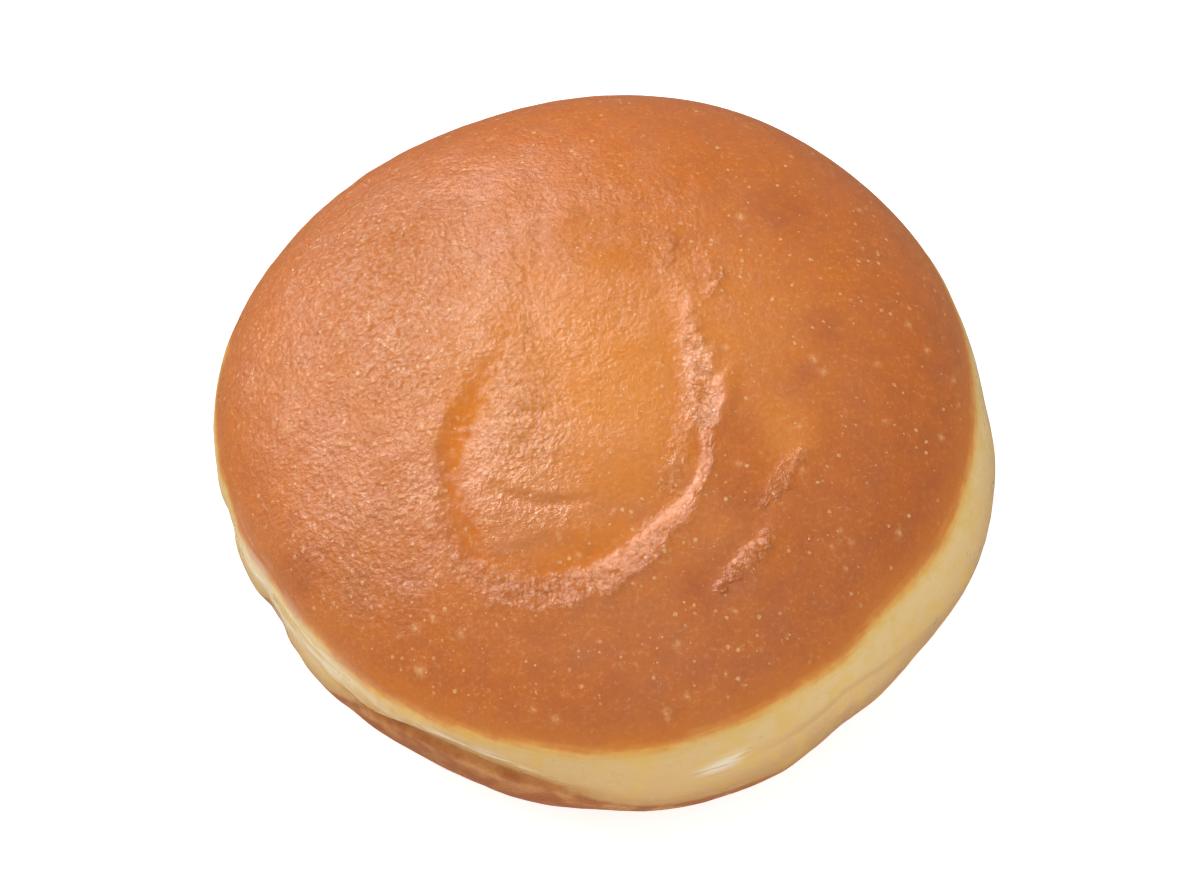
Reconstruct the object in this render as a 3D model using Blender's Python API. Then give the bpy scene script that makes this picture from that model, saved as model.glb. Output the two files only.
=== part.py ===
"""Cream-filled doughnut: a squat round bun of yeast dough, fried on one face and then the other.

The bun is one solid. Each fried face is a browned dome, and the dough between them, which stayed above
the oil, is a paler ring. The ring bulges on the bun's right and is pinched into a crease on its left and
front, where the two crusts nearly meet. The top crust sank as it cooled: it has a shallow hollow towards
the front, a curved fold round the hollow's right and front, and smaller folds beside it.

Metres, +Z up. The origin is the middle of the patch that the bun rests on, and -Y is the bun's front.
"""

import bpy
import numpy as np
from mathutils import Vector, noise

MM = 0.001

# The whole bun
RADIUS = 47.4 * MM  # at the widest level
WIDEST_LEVEL = 19 * MM  # height of that level
CROWN_RISE = 22 * MM  # from the widest level to the top, before the hollow
BELLY_DROP = 20.2 * MM  # from the widest level down; the floor flattens the last of it
CROWN_FULLNESS = 2.3  # 2 is an ellipse, and more is a squarer shoulder
BELLY_FULLNESS = 2.4
FLOOR_SOFTNESS = 0.5 * MM  # height over which the belly eases into the flat patch

# Swells of the outline seen from above: how many there are round the bun, height, bearing of one of them
OUTLINE_SWELLS = (
    (3, 0.5 * MM, 48),
    (4, 0.5 * MM, -9),
)

# Relief of the side: how far it stands out, its level, half its height, its bearing, half its spread
SIDE_RELIEF = (
    (-1.7 * MM, 23.2 * MM, 1.3 * MM, -117, 20),  # crease where the two crusts nearly meet
    (0.6 * MM, 26 * MM, 1.8 * MM, -119, 24),  # lip of the upper crust over the crease
    (-0.5 * MM, 22.5 * MM, 2.5 * MM, -50, 14),  # shallow dip in the pale ring
    (-0.6 * MM, 19 * MM, 3.5 * MM, 118, 40),  # waist between the crusts at the back
    (0.6 * MM, 17 * MM, 8 * MM, -14, 14),  # uneven swelling of the dough between the crusts
    (-0.4 * MM, 17 * MM, 8 * MM, -46, 10),
    (0.6 * MM, 16 * MM, 8 * MM, -72, 15),
    (-0.7 * MM, 19 * MM, 8 * MM, 11, 12),
)

# The hollow in the crown, seen from above. Its floor ends at a steep wall on the right and front, with a fold
# of skin along its top, and at a soft shoulder on the left. Towards the back it runs out. The lines are X, Y
# and what they carry, in millimetres, and their heights and depths run out at their ends.

# Wall's top, clockwise from the back: the fold's height, wall's width, floor's depth, width outside the fold
WALL_TOP = (
    (-2, 30, 0, 6, 0, 6),
    (4, 20, 0, 6, 0, 6),
    (8.6, 9.5, 0, 5, 0.3, 4),
    (10.6, 2.5, 0.2, 5, 0.9, 3),
    (12.2, -1.5, 0.3, 5.4, 1.5, 3),
    (13.6, -4.6, 0.35, 5.4, 1.8, 3),
    (13.3, -7.6, 0.3, 3.6, 1.2, 3),
    (12.5, -11, 0.3, 2.6, 0.8, 3),
    (11.8, -15, 0.3, 2.4, 0.8, 3),
    (10.3, -19.6, 0.3, 3, 1.1, 3),
    (7.8, -23.8, 0.3, 4.4, 1.7, 3),
    (3.6, -28, 0.3, 5.2, 2, 3),
    (-1.6, -30.9, 0.3, 5.4, 2, 3),
    (-7, -32.2, 0.3, 5.6, 1.9, 3),
    (-12.6, -31.2, 0.25, 5.6, 1.6, 3.5),
    (-17.6, -27.8, 0.1, 5.6, 1, 4),
    (-22, -22.5, 0, 6, 0.3, 4),
    (-26, -16.5, 0, 6, 0, 4),
)
# Shoulder's top, anticlockwise from the back: width of the slope below it, depth at its foot
SHOULDER_TOP = (
    (-7, 32, 8, 0),
    (-8, 22, 8, 0.3),
    (-9.5, 11, 8, 0.5),
    (-12.5, 2, 7, 0.6),
    (-17.5, -5, 6, 0.7),
    (-21, -12, 6, 0.8),
    (-23, -19, 6, 0.8),
    (-23, -27, 6, 0.6),
    (-19, -34, 6, 0.4),
    (-11, -40, 6, 0),
)
FLOOR_SWELL = 0.5 * MM  # how far the floor rises between the shoulder and the wall

# Smaller folds of the crown's skin. Each point of a fold has its height and the dip on its left, below zero
# for a valley, and its width left and right of the line.
FOLDS = (
    # Valley left of the hollow's floor
    ((-5, 32, 0, 0, 5, 4), (-8.2, 23, -0.2, 0, 5, 4), (-8.8, 12, -0.35, 0, 5, 4.5),
     (-9.6, 3, -0.5, 0, 5, 4.5), (-12.8, -3, -0.75, 0, 4.6, 4), (-16, -8, -0.95, 0, 4.6, 3.8),
     (-17.6, -14, -1, 0, 5, 3.8), (-17.6, -20, -0.9, 0, 5, 3.8), (-15.6, -25, -0.6, 0, 5, 3.6),
     (-12, -28, -0.2, 0, 5, 3), (-7, -29.4, 0, 0, 4, 3)),
    # Folds right of the hollow
    ((17.4, -22.6, 0, 0, 3, 4), (20, -19.4, 0.4, 0.3, 3, 4), (22, -15.6, 0.5, 0.35, 3.2, 4),
     (23.9, -12, 0.3, 0.2, 3, 4), (25.6, -8, 0, 0, 2.4, 4)),
    ((9.8, -33.2, 0, 0, 2.4, 4), (13.6, -30.4, 0.35, 0.3, 2.8, 4), (17.2, -26.6, 0.5, 0.4, 3, 4),
     (20, -23, 0.3, 0.2, 3, 4), (22.2, -19.4, 0, 0, 2.4, 4)),
    # Crease across the floor
    ((-0.8, -17.2, 0, 0, 2, 4.5), (-5, -18.5, 0.35, 0.3, 2, 4.5), (-10.2, -18.2, 0.35, 0.3, 2, 4.5),
     (-14.4, -16, 0, 0, 2, 4.5)),
)

# Uneven swelling of the dough
LUMP_LENGTH = 17 * MM
LUMP_HEIGHT = 0.35 * MM

# The mesh: its rings lie evenly along the skin, and those of the crown gather round the hollow
SEGMENTS = 88
RINGS_BELOW = 14
RINGS_ABOVE = 46
POLE = (-2 * MM, -12 * MM)  # the middle of the crown's rings, seen from above
LINE_STEPS = 5  # straight steps between two points of a line
LEAN = 9  # how strongly a distance to a line leans on its nearest steps
NEAR = 0.3 * MM  # distance within which they count alike
ARC_STEPS = 400  # steps that measure along a dome

CRUST_COLOUR = (0.55, 0.19, 0.055)
CRUST_ROUGHNESS = 0.45


def clear_scene():
    for thing in list(bpy.data.objects):
        bpy.data.objects.remove(thing)


def smooth_step(share):
    share = np.clip(share, 0, 1)
    return share * share * (3 - 2 * share)


def outline_radius(bearing):
    """Distance from the middle to the widest level's edge, seen from above."""
    swells = sum(
        height * np.cos(count * (bearing - np.radians(towards)))
        for count, height, towards in OUTLINE_SWELLS
    )
    return RADIUS + swells


def spline(points):
    """A smooth line through the points, as short straight steps. It takes along what the points carry."""
    knots = np.array(points, float) * MM
    knots = np.vstack([2 * knots[0] - knots[1], knots, 2 * knots[-1] - knots[-2]])
    line = []
    for before, start, end, after in zip(knots, knots[1:], knots[2:], knots[3:]):
        for step in np.arange(LINE_STEPS) / LINE_STEPS:
            line.append(
                start
                + 0.5 * step * (end - before)
                + step**2 * (before - 2.5 * start + 2 * end - 0.5 * after)
                + step**3 * 0.5 * (after - before + 3 * (start - end))
            )
    return np.array(line + [knots[-2]])


def from_line(places, line):
    """For each place: its distance from the line, whether it is left of it, and what the line carries there.

    The distance and what is carried are means that lean on the nearest steps of the line, so they change
    smoothly from place to place, also inside a bend.
    """
    starts, runs = line[:-1, :2], np.diff(line[:, :2], axis=0)
    offsets = places[:, None] - starts
    along = np.clip((offsets * runs).sum(-1) / (runs**2).sum(-1), 0, 1)
    gaps = offsets - along[..., None] * runs
    distances = np.hypot(gaps[..., 0], gaps[..., 1]) + NEAR
    nearest = distances.argmin(1)
    rows = np.arange(len(places))
    side = runs[nearest, 0] * offsets[rows, nearest, 1] - runs[nearest, 1] * offsets[rows, nearest, 0]
    weights = (distances.min(1)[:, None] / distances) ** LEAN
    weights /= weights.sum(1)[:, None]
    carried = [
        ((start + along * change) * weights).sum(1)
        for start, change in zip(line[:-1, 2:].T, np.diff(line[:, 2:], axis=0).T)
    ]
    return (distances * weights).sum(1) - NEAR, side > 0, carried


def crisp_step(share):
    """A step with a crease at its start and a smooth end."""
    share = np.clip(share, 0, 1)
    return share * (4 - share**3) / 3


def hollow_relief(places):
    """Height of the hollow and of the fold along its wall at these places, seen from above."""
    to_wall, is_outside, (fold, wall, wall_depth, outside) = from_line(places, spline(WALL_TOP))
    to_shoulder, is_inside, (slope, shoulder_depth) = from_line(places, spline(SHOULDER_TOP))
    across = to_wall / (to_wall + to_shoulder)
    depth = wall_depth * (1 - across) + shoulder_depth * across - FLOOR_SWELL * 4 * across * (1 - across)
    sunk = crisp_step(to_wall / wall) * smooth_step(to_shoulder / slope) * is_inside * ~is_outside
    return fold * (1 - crisp_step(to_wall / np.where(is_outside, outside, wall))) - depth.clip(0) * sunk


def fold_relief(places):
    """Height that the smaller folds add to the crown at these places, seen from above."""
    relief = np.zeros(len(places))
    for points in FOLDS:
        distance, is_left, (height, dip, width_left, width_right) = from_line(places, spline(points))
        share = distance / np.where(is_left, width_left, width_right)
        relief += height * (1 - smooth_step(share))
        relief -= dip * is_left * np.sin(np.clip(share, 0, 2) * np.pi / 2) ** 2
    return relief


def side_relief(bearing, height):
    """How far the side stands out at this bearing and height."""
    relief = 0
    for out, level, half_height, middle, half_spread in SIDE_RELIEF:
        off = (np.degrees(bearing) - middle + 180) % 360 - 180
        relief += out * np.exp(-((off / half_spread) ** 4) - ((height - level) / half_height) ** 2)
    return relief


def lumps(points):
    """Uneven swelling, as a distance outwards from the middle of the bun."""
    return np.array([LUMP_HEIGHT * noise.noise(Vector(point) / LUMP_LENGTH) for point in points])


def dome(climb, fullness):
    """A dome's width and height, as shares of its own, at this angle up from its widest level."""
    return np.cos(climb).clip(0) ** (2 / fullness), np.sin(climb).clip(0) ** (2 / fullness)


def even_climb(share, rise, fullness):
    """The angle at this share of the way along a dome's skin, from its widest level to its top."""
    climbs = np.linspace(0, np.pi / 2, ARC_STEPS)
    across, up = dome(climbs, fullness)
    along = np.cumsum(np.hypot(np.diff(RADIUS * across), np.diff(rise * up)))
    return np.interp(share * along[-1], np.append(0, along), climbs)


def bun_points(directions):
    """Places on the bun's skin for points of a unit sphere."""
    bearing = np.arctan2(directions[:, 1], directions[:, 0])
    ring = (np.arcsin(directions[:, 2].clip(-1, 1)) / np.pi + 0.5) * (RINGS_BELOW + RINGS_ABOVE)
    above = ring >= RINGS_BELOW
    crown_climb = even_climb((ring / RINGS_BELOW - 1) * RINGS_BELOW / RINGS_ABOVE, CROWN_RISE, CROWN_FULLNESS)
    belly_climb = even_climb(1 - ring / RINGS_BELOW, BELLY_DROP, BELLY_FULLNESS)

    # Seen from above: the crown's rings gather round the hollow
    across = np.where(above, dome(crown_climb, CROWN_FULLNESS)[0], dome(belly_climb, BELLY_FULLNESS)[0])
    towards = np.column_stack([np.cos(bearing), np.sin(bearing)])
    places = towards * (outline_radius(bearing) * across)[:, None]
    places += np.where(above, (1 - across**2) ** 2, 0)[:, None] * POLE

    bearing = np.arctan2(places[:, 1], places[:, 0])
    share = (np.hypot(*places.T) / outline_radius(bearing)).clip(0, 1)
    crown = WIDEST_LEVEL + CROWN_RISE * (1 - share**CROWN_FULLNESS) ** (1 / CROWN_FULLNESS)
    belly = WIDEST_LEVEL - BELLY_DROP * dome(belly_climb, BELLY_FULLNESS)[1]
    height = np.where(above, crown + hollow_relief(places) + fold_relief(places), belly)

    towards = np.column_stack([np.cos(bearing), np.sin(bearing)])
    places += towards * side_relief(bearing, height)[:, None]
    points = np.column_stack([places, height])
    outwards = points - (0, 0, WIDEST_LEVEL)
    outwards /= np.linalg.norm(outwards, axis=1, keepdims=True)
    points += outwards * lumps(points)[:, None]
    return stand_on_origin(rest_on_floor(points))


def rest_on_floor(points):
    """Eases the belly's lowest part into one flat patch at height 0."""
    height, soft = points[:, 2], FLOOR_SOFTNESS
    eased = np.clip(height + soft, 0, None) ** 2 / (4 * soft)
    points[:, 2] = np.where(height > soft, height, eased)
    return points


def stand_on_origin(points):
    """Moves the bun sideways until the origin is below the middle of its length and width."""
    points[:, :2] -= (points[:, :2].min(0) + points[:, :2].max(0)) / 2
    return points


def crust_material():
    material = bpy.data.materials.new("fried_dough")
    material.use_nodes = True
    shader = material.node_tree.nodes["Principled BSDF"]
    shader.inputs["Base Color"].default_value = (*CRUST_COLOUR, 1)
    shader.inputs["Roughness"].default_value = CRUST_ROUGHNESS
    shader.inputs["Metallic"].default_value = 0
    return material


def make_bun():
    bpy.ops.mesh.primitive_uv_sphere_add(
        segments=SEGMENTS, ring_count=RINGS_BELOW + RINGS_ABOVE, radius=1
    )
    bun = bpy.context.active_object
    bun.name = bun.data.name = "doughnut"
    sphere = np.array([vertex.co for vertex in bun.data.vertices])
    bun.data.vertices.foreach_set("co", bun_points(sphere).ravel())
    bun.data.shade_smooth()
    bun.data.materials.append(crust_material())
    return bun


def main():
    clear_scene()
    bun = make_bun()
    pastry = bpy.data.collections.new("doughnut_parts")
    bpy.context.scene.collection.children.link(pastry)
    for collection in list(bun.users_collection):
        collection.objects.unlink(bun)
    pastry.objects.link(bun)


main()
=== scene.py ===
"""A cream-filled doughnut as it looks: a squat bun of fried yeast dough with orange-brown crusts, a pale
ring of dough round its side, and a shallow hollow with a curved fold in its crown.

Metres, +Z up, and -Y is the doughnut's front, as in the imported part.
"""

import math

import bmesh
import bpy
import numpy as np
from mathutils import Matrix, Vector, noise


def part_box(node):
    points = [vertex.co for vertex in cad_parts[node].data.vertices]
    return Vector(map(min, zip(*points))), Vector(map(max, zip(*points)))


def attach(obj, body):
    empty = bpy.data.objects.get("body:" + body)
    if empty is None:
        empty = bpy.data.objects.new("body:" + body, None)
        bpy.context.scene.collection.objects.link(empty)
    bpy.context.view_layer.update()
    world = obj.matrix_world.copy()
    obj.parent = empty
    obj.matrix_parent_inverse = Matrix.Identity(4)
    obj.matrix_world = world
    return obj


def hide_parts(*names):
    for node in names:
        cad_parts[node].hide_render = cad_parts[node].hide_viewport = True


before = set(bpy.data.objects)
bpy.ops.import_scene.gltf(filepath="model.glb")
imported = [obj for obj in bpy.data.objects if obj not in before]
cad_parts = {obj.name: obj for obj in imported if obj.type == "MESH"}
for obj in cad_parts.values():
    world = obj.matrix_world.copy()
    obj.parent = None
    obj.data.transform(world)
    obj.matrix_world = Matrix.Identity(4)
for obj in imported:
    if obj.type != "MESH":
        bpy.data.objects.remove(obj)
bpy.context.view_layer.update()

# ---------------------------------------------------------------------------------------------------------
# The view. A long lens looks down on the doughnut's front from well above, so that both the whole crown
# and the front of the pale ring show.

MM = 0.001

VIEW_ELEVATION = math.radians(61)
VIEW_DISTANCE = 410 * MM
VIEW_LENS = 100  # on a 36 mm frame
VIEW_NEAREST = 10 * MM
VIEW_AIM = Vector((-0.4, -0.8, 18.6)) * MM

camera = bpy.data.objects.new("camera", bpy.data.cameras.new("camera"))
camera.data.lens = VIEW_LENS
camera.data.clip_start = VIEW_NEAREST
away = Vector((0, -math.cos(VIEW_ELEVATION), math.sin(VIEW_ELEVATION)))
camera.location = VIEW_AIM + away * VIEW_DISTANCE
camera.rotation_euler = away.to_track_quat("Z", "Y").to_euler()
bpy.context.scene.collection.objects.link(camera)
bpy.context.scene.camera = camera

# ---------------------------------------------------------------------------------------------------------
# The bun. A ball of yeast dough rises, is fried on one face, turned, and fried on the other. Each face
# is a dome, squarer at its shoulder than a ball, and the lower one is flat where the bun rests.

bun_low, bun_high = (Vector(corner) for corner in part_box("doughnut"))
SWELLS_IN_BOX = 0.45 * MM  # how far out the swells below push the sides of its box
BUN_RADIUS = (bun_high.x - bun_low.x + bun_high.y - bun_low.y) / 4 - SWELLS_IN_BOX
WIDEST_LEVEL = 19 * MM
CROWN_RISE = 22 * MM
BELLY_DROP = 20.2 * MM  # the floor flattens the last of it
CROWN_FULLNESS = 2.3  # 2 is an ellipse, and more is a squarer shoulder
BELLY_FULLNESS = 2.4
CROWN_SHARE = 0.62  # of the mesh between the underside's middle and the top
FLOOR_SOFTNESS = 0.5 * MM  # height below which the underside eases onto the floor
SKIN_CUTS = 127  # of each edge of the cube that the skin is made from
ARC_STEPS = 400  # of each dome's arc

# Swells of the outline seen from above: how many there are round the bun, height, bearing of one of them
OUTLINE_SWELLS = (
    (3, 0.5 * MM, 48),
    (4, 0.5 * MM, -9),
)
LUMP_LENGTH = 17 * MM  # low lumps all over
LUMP_HEIGHT = 0.35 * MM


def smooth_step(share):
    """A step from 0 to 1 with a smooth start and end."""
    share = np.clip(share, 0, 1)
    return share * share * (3 - 2 * share)


def unit_sphere(cuts):
    """A closed skin of near-even squares: a cube, divided and blown up to a ball."""
    skin = bmesh.new()
    bmesh.ops.create_cube(skin, size=2)
    bmesh.ops.subdivide_edges(skin, edges=skin.edges[:], cuts=cuts, use_grid_fill=True)
    mesh = bpy.data.meshes.new("doughnut_skin")
    skin.to_mesh(mesh)
    skin.free()
    corners = np.empty(len(mesh.vertices) * 3)
    mesh.vertices.foreach_get("co", corners)
    # The tangent keeps the squares near-even once they are on the ball
    ball = np.tan(corners.reshape(-1, 3) * math.pi / 4)
    return mesh, ball / np.linalg.norm(ball, axis=1, keepdims=True)


def dome(climb, fullness):
    """A dome's width and height, as shares of its own, at this angle up from its widest level."""
    return np.cos(climb).clip(0) ** (2 / fullness), np.sin(climb).clip(0) ** (2 / fullness)


def dome_arc(rise, fullness):
    """Angles up a dome from its widest level, and the length of skin below each."""
    climbs = np.linspace(0, math.pi / 2, ARC_STEPS)
    across, up = dome(climbs, fullness)
    steps = np.hypot(np.diff(BUN_RADIUS * across), np.diff(rise * up))
    return climbs, np.append(0, np.cumsum(steps))


def outline_radius(bearing):
    """Distance from the middle to the widest level's edge, seen from above."""
    swells = sum(
        height * np.cos(count * (bearing - math.radians(towards)))
        for count, height, towards in OUTLINE_SWELLS
    )
    return BUN_RADIUS + swells


def noise_at(points, size, seed=0):
    """Smooth noise from about -1 to 1 at each point, whose bumps are about this size."""
    return np.array([noise.noise(Vector(point) / size + Vector((seed, 0, 0))) for point in points])


doughnut_mesh, directions = unit_sphere(SKIN_CUTS)
bearing = np.arctan2(directions[:, 1], directions[:, 0])
share = np.arcsin(directions[:, 2].clip(-1, 1)) / math.pi + 0.5
on_crown = share >= 1 - CROWN_SHARE
crown_climbs, crown_arcs = dome_arc(CROWN_RISE, CROWN_FULLNESS)
belly_climbs, belly_arcs = dome_arc(BELLY_DROP, BELLY_FULLNESS)

# Length of skin from the widest level up to each point, below zero on the belly
along = np.where(
    on_crown,
    (share - 1 + CROWN_SHARE) / CROWN_SHARE * crown_arcs[-1],
    -(1 - share / (1 - CROWN_SHARE)) * belly_arcs[-1],
)
crown_across, crown_up = dome(np.interp(along, crown_arcs, crown_climbs), CROWN_FULLNESS)
belly_across, belly_up = dome(np.interp(-along, belly_arcs, belly_climbs), BELLY_FULLNESS)
towards = np.column_stack([np.cos(bearing), np.sin(bearing)])
places = towards * (outline_radius(bearing) * np.where(on_crown, crown_across, belly_across))[:, None]
height = WIDEST_LEVEL + np.where(on_crown, CROWN_RISE * crown_up, -BELLY_DROP * belly_up)

# ---------------------------------------------------------------------------------------------------------
# The crown's hollow. As the bun cooled, steam drew out of its crown and the skin sank. The floor ends at a
# steep wall on the right and front, with a thin fold of skin along its top, and at a soft shoulder on the
# left. Towards the back it runs out.

LINE_STEPS = 6  # straight steps between two points of a line
LEAN = 9  # how strongly a distance to a line leans on its nearest steps
NEAR = 0.2 * MM  # distance within which they count alike

# The lines below are X, Y and what they carry, in millimetres. Heights and depths run out at their ends.
# Wall's top, clockwise from the back: the fold's height, wall's width, floor's depth, width outside the fold
WALL_TOP = (
    (-2, 30, 0, 6, 0, 6),
    (4, 20, 0, 6, 0, 6),
    (8.6, 9.5, 0, 5, 0.3, 4),
    (10.6, 2.5, 0.2, 5, 0.9, 3),
    (12.2, -1.5, 0.3, 5.4, 1.5, 3),
    (13.6, -4.6, 0.35, 5.4, 1.8, 3),
    (13.3, -7.6, 0.3, 3.6, 1.2, 3),
    (12.5, -11, 0.3, 1.7, 0.7, 3),
    (11.8, -15, 0.3, 1.5, 0.65, 3),
    (10.3, -19.6, 0.3, 2.4, 1.0, 3),
    (7.8, -23.8, 0.3, 4.4, 1.7, 3),
    (3.6, -28, 0.3, 5.2, 2.0, 3),
    (-1.6, -30.9, 0.3, 5.4, 2.0, 3),
    (-7, -32.2, 0.3, 5.6, 1.9, 3),
    (-12.6, -31.2, 0.25, 5.6, 1.6, 3.5),
    (-17.6, -27.8, 0.1, 5.6, 1.0, 4),
    (-22, -22.5, 0, 6, 0.3, 4),
    (-26, -16.5, 0, 6, 0, 4),
)
# Shoulder's top, anticlockwise from the back: width of the slope below it, depth at its foot
SHOULDER_TOP = (
    (-7, 32, 8, 0),
    (-8, 22, 8, 0.3),
    (-9.5, 11, 8, 0.4),
    (-12.5, 2, 7, 0.45),
    (-17.5, -5, 6, 0.5),
    (-21, -12, 6, 0.55),
    (-23, -19, 6, 0.55),
    (-23, -27, 6, 0.45),
    (-19, -34, 6, 0.3),
    (-11, -40, 6, 0),
)
FLOOR_SWELL = 0.4 * MM  # how far the floor rises between the shoulder and the wall
WANDER = ((5 * MM, 0.8 * MM), (1.8 * MM, 0.35 * MM))  # how the lines waver: size of the waves, how far
SEED_STEP = 50  # from the seed of the waves across to that of the waves towards the back


def spline(points):
    """A smooth line through the points, as short straight steps. It takes along what the points carry.

    All of it goes from millimetres to metres, so a plain number that it carries is divided by MM again.
    """
    knots = np.array(points, float) * MM
    knots = np.vstack([2 * knots[0] - knots[1], knots, 2 * knots[-1] - knots[-2]])
    line = []
    for before, start, end, after in zip(knots, knots[1:], knots[2:], knots[3:]):
        for step in np.arange(LINE_STEPS) / LINE_STEPS:
            line.append(
                start
                + 0.5 * step * (end - before)
                + step**2 * (before - 2.5 * start + 2 * end - 0.5 * after)
                + step**3 * 0.5 * (after - before + 3 * (start - end))
            )
    return np.array(line + [knots[-2]])


def from_line(places, line):
    """Each place's distance from the line, whether it is left of it, and what the line carries there.

    The distance and what is carried are means that lean on the nearest steps of the line, so they change
    smoothly from place to place, also inside a bend.
    """
    starts, runs = line[:-1, :2], np.diff(line[:, :2], axis=0)
    offsets = places[:, None] - starts
    way = np.clip((offsets * runs).sum(-1) / (runs**2).sum(-1), 0, 1)
    gaps = offsets - way[..., None] * runs
    distances = np.hypot(gaps[..., 0], gaps[..., 1]) + NEAR
    nearest = distances.argmin(1)
    rows = np.arange(len(places))
    side = runs[nearest, 0] * offsets[rows, nearest, 1] - runs[nearest, 1] * offsets[rows, nearest, 0]
    weights = (distances.min(1)[:, None] / distances) ** LEAN
    weights /= weights.sum(1)[:, None]
    carried = [
        ((start + way * change) * weights).sum(1)
        for start, change in zip(line[:-1, 2:].T, np.diff(line[:, 2:], axis=0).T)
    ]
    return (distances * weights).sum(1) - NEAR, side > 0, carried


def crisp_step(share):
    """A step with a crease at its start and a smooth end."""
    share = np.clip(share, 0, 1)
    return share * (4 - share**3) / 3


def flat(places):
    """Places seen from above, as points."""
    return np.column_stack([places, np.zeros(len(places))])


def wavering(places, size, reach, seed):
    """Places seen from above, moved about by waves of this size that reach this far."""
    across = noise_at(flat(places), size, seed)
    back = noise_at(flat(places), size, seed + SEED_STEP)
    return places + reach * np.column_stack([across, back])


def hollow_relief(places):
    """Height of the hollow and of the fold along its wall, seen from above."""
    to_wall, is_outside, (fold, wall, wall_depth, outside) = from_line(places, spline(WALL_TOP))
    to_shoulder, is_inside, (slope, shoulder_depth) = from_line(places, spline(SHOULDER_TOP))
    across = to_wall / (to_wall + to_shoulder)
    depth = wall_depth * (1 - across) + shoulder_depth * across - FLOOR_SWELL * 4 * across * (1 - across)
    sunk = crisp_step(to_wall / wall) * smooth_step(to_shoulder / slope) * is_inside * ~is_outside
    return fold * (1 - crisp_step(to_wall / np.where(is_outside, outside, wall))) - depth.clip(0) * sunk


crown_only = np.flatnonzero(on_crown)
crown_places = places[crown_only]
for seed, (size, reach) in enumerate(WANDER):
    crown_places = wavering(crown_places, size, reach, seed)
height[crown_only] += hollow_relief(crown_places)

# ---------------------------------------------------------------------------------------------------------
# Small folds and creases. The skin is wider than the crown has become, so it buckles: a valley runs down
# the left of the hollow's floor, creases cross it, the wall's fold splits, two folds stand on its right, and
# the skin puckers behind it.

# X, Y, height, depth of the dip on its left, width of its left side, width of its right side
CROWN_FOLDS = (
    # Valley left of the hollow's floor
    ((-5, 32, 0, 0, 5, 4), (-8.2, 23, -0.15, 0, 5, 4), (-8.8, 12, -0.2, 0, 4.6, 4),
     (-9.6, 3, -0.2, 0, 4.2, 3.6), (-12.8, -3, -0.25, 0, 3.8, 3.2), (-16, -8, -0.35, 0, 3.8, 3),
     (-17.4, -14, -0.35, 0, 4, 3), (-17, -20, -0.3, 0, 4, 3), (-15.2, -25, -0.25, 0, 4, 3),
     (-12, -28, -0.1, 0, 4, 3), (-7, -29.4, 0, 0, 4, 3)),
    # Folds right of the hollow
    ((17.4, -22.6, 0, 0, 3, 4), (20, -19.4, 0.16, 0.12, 3, 4), (22, -15.6, 0.2, 0.16, 3.2, 4),
     (23.9, -12, 0.13, 0.1, 3, 4), (25.6, -8, 0, 0, 2.4, 4)),
    ((9.8, -33.2, 0, 0, 2.4, 4), (13.6, -30.4, 0.26, 0.22, 2.8, 4), (17.2, -26.6, 0.34, 0.3, 3, 4),
     (20, -23, 0.22, 0.17, 3, 4), (22.2, -19.4, 0, 0, 2.4, 4)),
    # Where the wall's fold splits
    ((12.4, -12.6, 0, 0, 1.4, 1.6), (13.8, -8.4, 0.15, 0.1, 1.6, 1.6), (14.6, -4.8, 0.2, 0.1, 1.6, 1.4),
     (15.6, -1.6, 0, 0, 1.4, 1.4)),
    ((9.4, -16.4, 0, 0, 2, 1.2), (10, -12.8, 0.12, 0.1, 2.2, 1.2), (10.2, -9.6, 0.12, 0.1, 2.2, 1.2),
     (9.8, -6.4, 0, 0, 2, 1.2)),
    # Creases across the floor
    ((-6.4, -6.4, 0, 0, 1, 3), (-8.6, -7.8, 0.15, 0.12, 1.2, 3.4), (-11.6, -7.8, 0.15, 0.12, 1.2, 3.4),
     (-15, -5.6, 0, 0, 1, 3)),
    ((-0.8, -17.2, 0, 0, 1, 4), (-5, -18.5, 0.25, 0.22, 1.2, 4.5), (-10.2, -18.2, 0.25, 0.22, 1.2, 4.5),
     (-14.4, -16, 0, 0, 1, 4)),
    ((4, -23.6, 0, 0, 1.6, 3), (-1.6, -23.6, 0.18, 0.15, 2, 3.4), (-7, -23, 0.18, 0.15, 2, 3.4),
     (-12, -24, 0, 0, 1.6, 3)),
    # Wrinkle behind the hollow's left end
    ((-9, 21.4, 0, 0, 1.2, 2.2), (-9.3, 18.4, 0.09, 0.07, 1.4, 2.6), (-9.1, 14.6, 0.09, 0.07, 1.4, 2.6),
     (-9.8, 11, 0, 0, 1.2, 2.2)),
    # Puckers behind the hollow
    ((6.6, 11, 0, 0, 1.6, 3), (7.6, 13.6, 0.12, 0.06, 1.8, 3), (7.4, 17, 0, 0, 1.6, 3)),
    ((11.6, 6.8, 0, 0, 1.4, 2.6), (12.8, 9, 0.13, 0.06, 1.6, 2.6), (12.2, 12, 0, 0, 1.4, 2.6)),
    ((10, 21.8, 0, 0, 1.4, 2.6), (11.2, 24, 0.12, 0.05, 1.6, 2.6), (10.8, 27, 0, 0, 1.4, 2.6)),
)


def fold_relief(places):
    """Height of the small folds. Each stands on its line, dips on its left and eases out on both sides."""
    relief = np.zeros(len(places))
    for points in CROWN_FOLDS:
        distance, is_left, (rise, dip, left_width, right_width) = from_line(places, spline(points))
        share = distance / np.where(is_left, left_width, right_width)
        relief += rise * (1 - smooth_step(share))
        relief -= dip * is_left * np.sin(np.clip(share, 0, 2) * math.pi / 2) ** 2
    return relief


height[crown_only] += fold_relief(crown_places)

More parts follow.
